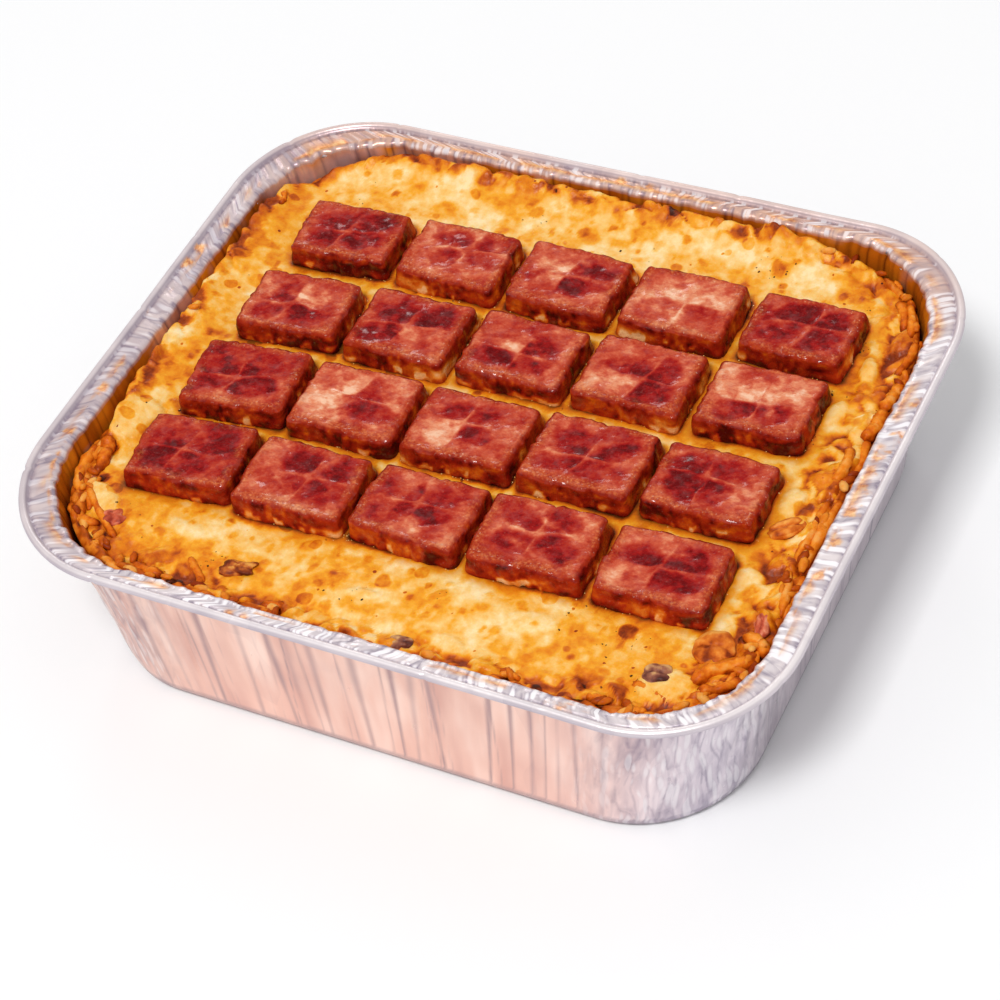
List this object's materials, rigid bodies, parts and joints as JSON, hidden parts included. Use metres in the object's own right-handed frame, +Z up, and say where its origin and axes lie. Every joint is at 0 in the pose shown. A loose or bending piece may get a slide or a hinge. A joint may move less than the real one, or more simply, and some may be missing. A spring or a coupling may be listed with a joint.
{
  "type": "tray bake of cheesy baked rice with ham in a foil tray",
  "caption": "Foil tray filled with a rice and strand bake under browned melted cheese, topped with rows of seared ham slabs.",
  "frame": {"origin": "centre of the tray's footprint, on the surface that the tray stands on", "axes": "+X along the long side towards the right, +Y towards the back of the tray as pictured, +Z up"},
  "size_m": [0.325, 0.271, 0.0837],
  "materials": {
    "foil": "thin pressed foil with fine pleats, satin bright, with baked-on grease in places",
    "rice": "soft orange baked rice and strands with a moist sheen",
    "cheese": "melted cream and golden cheese with browned blisters and an oily sheen",
    "ham": "seared fibrous meat, rose to dark red, oily",
    "browned": "crisp browned scraps",
    "mushroom": "soft moist mushroom"
  },
  "bodies": {
    "root": {"foil_tray": "foil", "rice_bed": "rice", "cheese_crust": "cheese", "ham_slab_r1c1": "ham", "ham_slab_r1c2": "ham", "ham_slab_r1c3": "ham", "ham_slab_r1c4": "ham", "ham_slab_r1c5": "ham", "ham_slab_r2c1": "ham", "ham_slab_r2c2": "ham", "ham_slab_r2c3": "ham", "ham_slab_r2c4": "ham", "ham_slab_r2c5": "ham", "ham_slab_r3c1": "ham", "ham_slab_r3c2": "ham", "ham_slab_r3c3": "ham", "ham_slab_r3c4": "ham", "ham_slab_r3c5": "ham", "ham_slab_r4c1": "ham", "ham_slab_r4c2": "ham", "ham_slab_r4c3": "ham", "ham_slab_r4c4": "ham", "ham_slab_r4c5": "ham", "browned_flake": "browned", "ham_bit_left": "ham", "ham_piece_front": "ham", "mushroom_front": "mushroom", "mushroom_middle": "mushroom", "brown_bit_right": "browned", "crisp_curl": "browned"}
  },
  "joints": []
}
